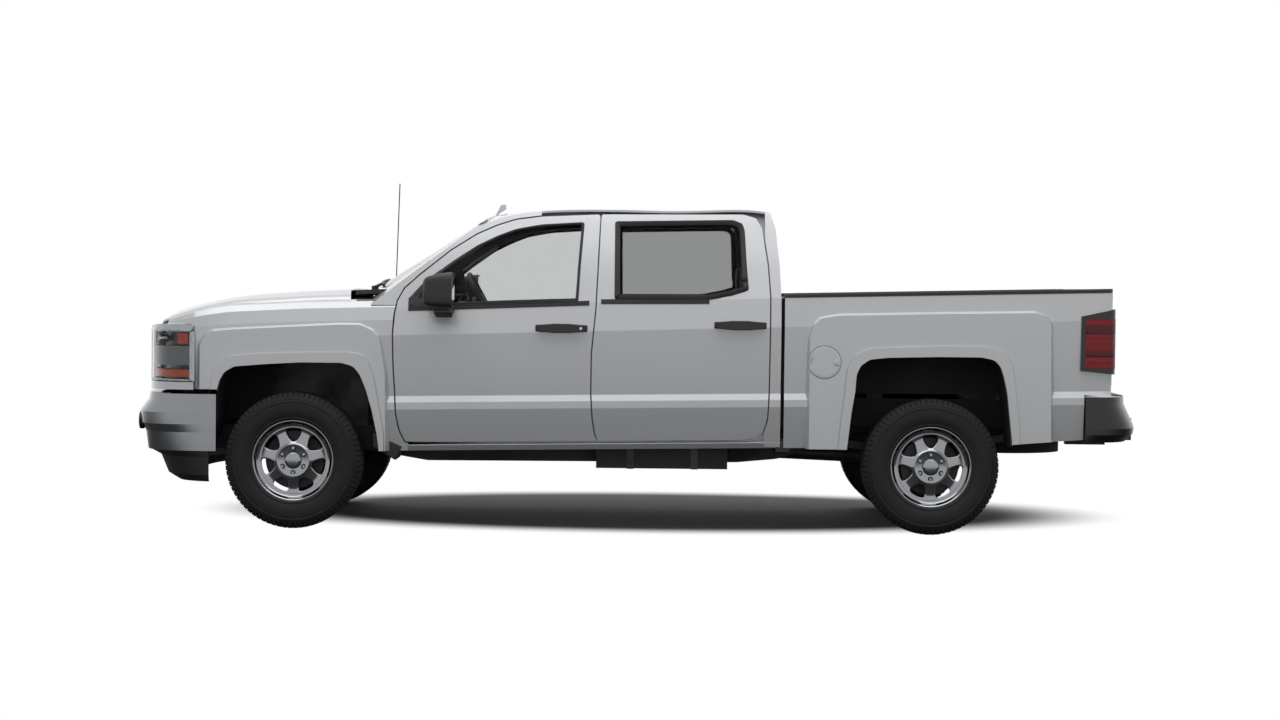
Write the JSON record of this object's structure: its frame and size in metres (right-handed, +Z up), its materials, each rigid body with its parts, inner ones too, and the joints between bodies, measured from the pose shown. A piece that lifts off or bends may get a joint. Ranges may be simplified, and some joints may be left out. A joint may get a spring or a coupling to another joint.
{
  "type": "pickup truck",
  "caption": "Silver crew-cab pickup truck with a short open bed, chrome bumper and wheels, opening doors, hood and tailgate, steering front wheels and a cabin with seats.",
  "frame": {"origin": "on the ground at the middle of the truck's bounding box, tyres standing on z = 0", "axes": "-X points to the front of the truck, -Y to its left side, +Z up"},
  "size_m": [5.8399, 2.51, 2.0481],
  "materials": {
    "body_paint": "metallic silver paint under clear coat",
    "black_trim": "grained black plastic",
    "chrome_trim": "bright plated",
    "lamp_front": "clear lamp cover over a bright bowl",
    "lamp_rear": "red lamp cover in a black bezel",
    "window_glass": "clear tempered glass",
    "rear_window_glass": "dark tinted glass",
    "underbody": "black chassis coating",
    "cast_parts": "bare machined and cast iron",
    "engine_metal": "dull cast aluminium",
    "rim_chrome": "bright plated wheel cladding",
    "tyre_rubber": "black tyre rubber",
    "cabin_plastic": "dark grey grained plastic",
    "seat_cloth": "dark grey woven cloth",
    "liner_plastic": "black moulded plastic",
    "bed_steel": "silver paint",
    "steel_parts": "bare steel"
  },
  "bodies": {
    "chassis": {"cab_sides": "body_paint", "roof": "body_paint", "cab_back": "body_paint", "fixed_glass": "window_glass", "cab_floor": "body_paint", "cowl": "black_trim", "fenders": "body_paint", "grille": "chrome_trim", "grille_mesh": "black_trim", "headlamps": "lamp_front", "nose_strips": "body_paint", "front_bumper": "chrome_trim", "front_valance": "black_trim", "front_liners": "liner_plastic", "rear_liners": "liner_plastic", "bed_sides": "body_paint", "tail_lamps": "lamp_rear", "rail_caps": "black_trim", "bed_floor": "bed_steel", "rear_bumper": "black_trim", "frame": "underbody", "front_suspension": "underbody", "rear_axle": "underbody", "leaf_springs": "underbody", "engine": "engine_metal", "driveshaft": "steel_parts", "dashboard": "cabin_plastic", "front_seats": "seat_cloth", "rear_seat": "seat_cloth", "aerials": "black_trim", "radiator": "underbody", "fuel_tank": "underbody", "spare_wheel": "tyre_rubber", "exhaust": "steel_parts"},
    "front_left_door": {"door_front_left": "body_paint", "glass_front_left": "window_glass", "mirror_left": "black_trim"},
    "front_left_wheel": {"rim_front_left": "rim_chrome", "tyre_front_left": "tyre_rubber"},
    "front_right_door": {"door_front_right": "body_paint", "glass_front_right": "window_glass", "mirror_right": "black_trim"},
    "front_right_wheel": {"rim_front_right": "rim_chrome", "tyre_front_right": "tyre_rubber"},
    "rear_left_door": {"door_rear_left": "body_paint", "glass_rear_left": "rear_window_glass"},
    "rear_left_wheel": {"rim_rear_left": "rim_chrome", "tyre_rear_left": "tyre_rubber"},
    "rear_right_door": {"door_rear_right": "body_paint", "glass_rear_right": "rear_window_glass"},
    "rear_right_wheel": {"rim_rear_right": "rim_chrome", "tyre_rear_right": "tyre_rubber"},
    "hood_lid": {"hood": "body_paint"},
    "tailgate_lid": {"tailgate": "body_paint"},
    "left_knuckle": {"knuckle_left": "cast_parts"},
    "right_knuckle": {"knuckle_right": "cast_parts"},
    "steering_hand_wheel": {"steering_wheel": "cabin_plastic"}
  },
  "joints": [
    {"name": "steer_left", "type": "hinge", "parent": "chassis", "child": "left_knuckle", "pos_m": [-1.956, -0.806, 0.29], "axis": [0, 0.2412, 0.9705], "range_deg": [-31, 31]},
    {"name": "roll_front_left", "type": "hinge", "parent": "left_knuckle", "child": "front_left_wheel", "pos_m": [-1.956, -0.8725, 0.388], "axis": [0, 1, 0], "continuous": true},
    {"name": "roll_rear_left", "type": "hinge", "parent": "chassis", "child": "rear_left_wheel", "pos_m": [1.689, -0.8585, 0.388], "axis": [0, 1, 0], "continuous": true},
    {"name": "open_door_front_left", "type": "hinge", "parent": "chassis", "child": "front_left_door", "pos_m": [-1.27812, -0.94, 0.62], "axis": [0, 0, -1], "range_deg": [0, 68]},
    {"name": "open_door_rear_left", "type": "hinge", "parent": "chassis", "child": "rear_left_door", "pos_m": [-0.14489, -0.94, 0.62], "axis": [0, 0, -1], "range_deg": [0, 68]},
    {"name": "steer_right", "type": "hinge", "parent": "chassis", "child": "right_knuckle", "pos_m": [-1.956, 0.806, 0.29], "axis": [0, -0.2412, 0.9705], "range_deg": [-31, 31]},
    {"name": "roll_front_right", "type": "hinge", "parent": "right_knuckle", "child": "front_right_wheel", "pos_m": [-1.956, 0.8725, 0.388], "axis": [0, 1, 0], "continuous": true},
    {"name": "roll_rear_right", "type": "hinge", "parent": "chassis", "child": "rear_right_wheel", "pos_m": [1.689, 0.8585, 0.388], "axis": [0, 1, 0], "continuous": true},
    {"name": "open_door_front_right", "type": "hinge", "parent": "chassis", "child": "front_right_door", "pos_m": [-1.27812, 0.94, 0.62], "axis": [0, 0, 1], "range_deg": [0, 68]},
    {"name": "open_door_rear_right", "type": "hinge", "parent": "chassis", "child": "rear_right_door", "pos_m": [-0.14489, 0.94, 0.62], "axis": [0, 0, 1], "range_deg": [0, 68]},
    {"name": "lift_hood", "type": "hinge", "parent": "chassis", "child": "hood_lid", "pos_m": [-1.50001, 0, 1.3], "axis": [0, 1, 0], "range_deg": [0, 48]},
    {"name": "lower_tailgate", "type": "hinge", "parent": "chassis", "child": "tailgate_lid", "pos_m": [2.69002, 0, 0.86872], "axis": [0, 1, 0], "range_deg": [0, 90]},
    {"name": "turn_steering_wheel", "type": "hinge", "parent": "chassis", "child": "steering_hand_wheel", "pos_m": [-0.90624, -0.42, 1.292], "axis": [0.891, 0, 0.454], "range_deg": [-510, 510]}
  ],
  "couplings": [
    {"joint": "steer_right", "follows": "steer_left", "ratio": 1},
    {"joint": "turn_steering_wheel", "follows": "steer_left", "ratio": 16}
  ]
}
